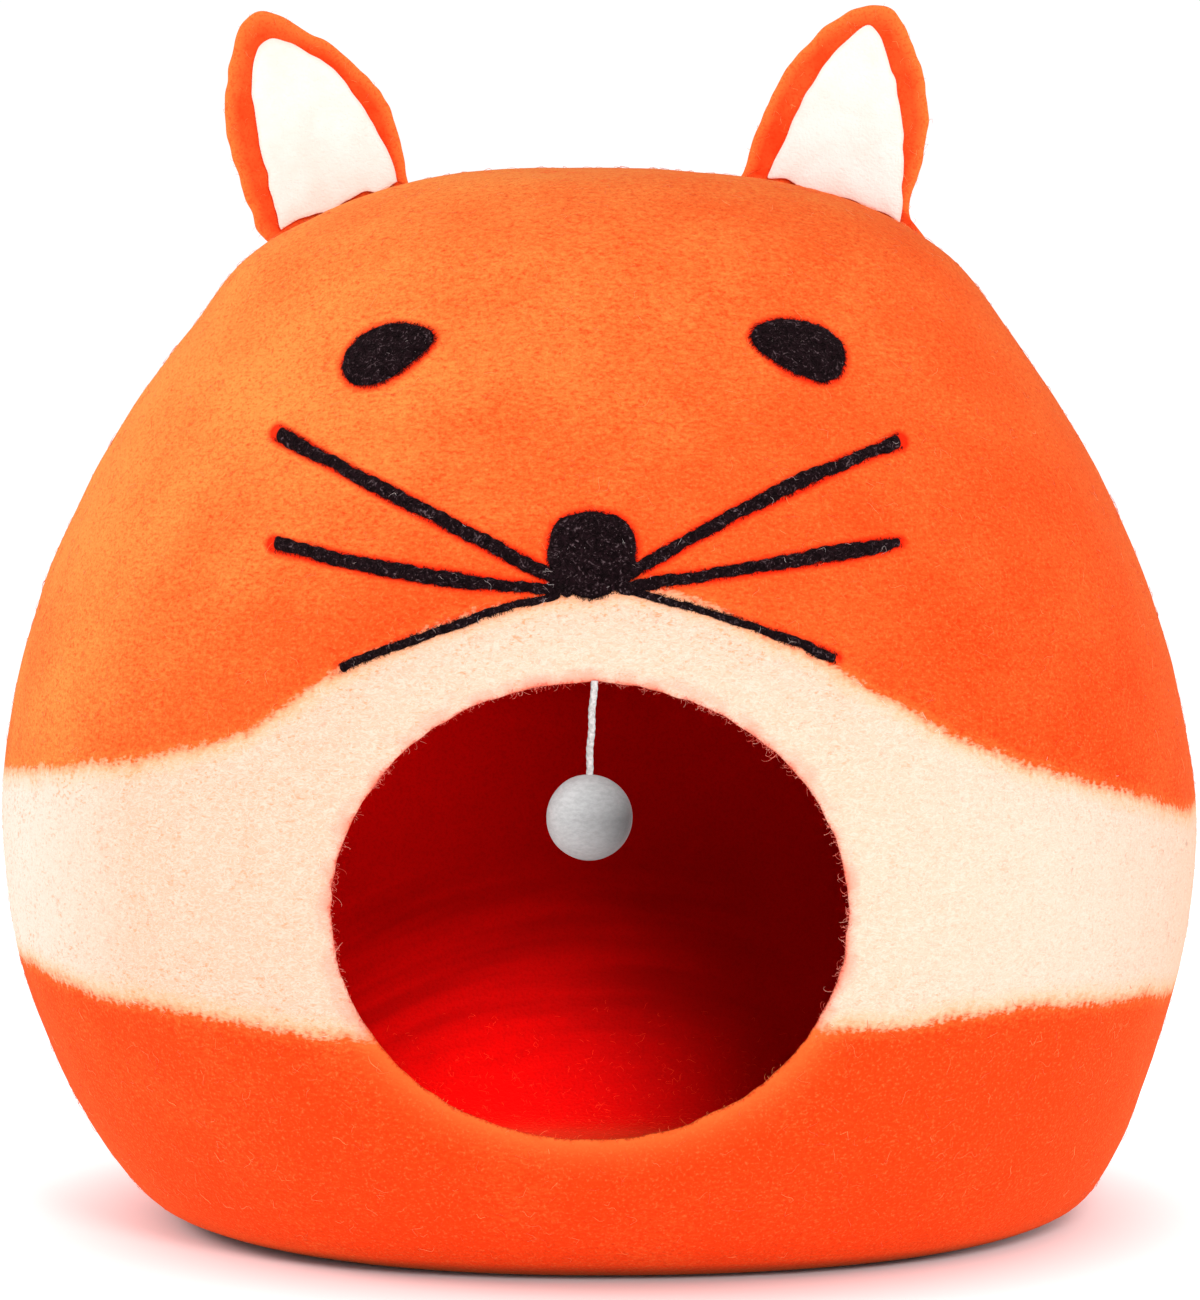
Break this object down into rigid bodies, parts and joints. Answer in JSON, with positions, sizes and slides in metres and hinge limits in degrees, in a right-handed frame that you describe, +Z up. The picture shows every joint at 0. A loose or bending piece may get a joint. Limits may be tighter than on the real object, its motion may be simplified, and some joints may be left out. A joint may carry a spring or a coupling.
{
  "type": "felt cat cave",
  "caption": "Round wool felt pet cave with a low round mouth, a fox face in applied felt, upright ear flaps, a pale felted band and a felt ball hung on a cord in the mouth",
  "frame": {"origin": "on the floor under the middle of the cave, without the toy", "axes": "+Z up; the mouth and the face look along -Y; +X is to the right of someone who looks at the face"},
  "size_m": [0.498, 0.4479, 0.506],
  "materials": {
    "orange_felt": "matt hand-felted wool",
    "cream_felt": "matt hand-felted wool",
    "black_felt": "matt needled wool",
    "grey_felt": "smooth felted ball",
    "white_cord": "twisted yarn"
  },
  "bodies": {
    "root": {"shell": "orange_felt", "ear_left": "orange_felt", "ear_right": "orange_felt", "inner_ear_left": "cream_felt", "inner_ear_right": "cream_felt", "eye_left": "black_felt", "eye_right": "black_felt", "nose": "black_felt", "whisker_left_top": "black_felt", "whisker_left_mid": "black_felt", "whisker_left_low": "black_felt", "whisker_right_top": "black_felt", "whisker_right_mid": "black_felt", "whisker_right_low": "black_felt", "toy_cord": "white_cord", "toy_ball": "grey_felt"}
  },
  "joints": []
}
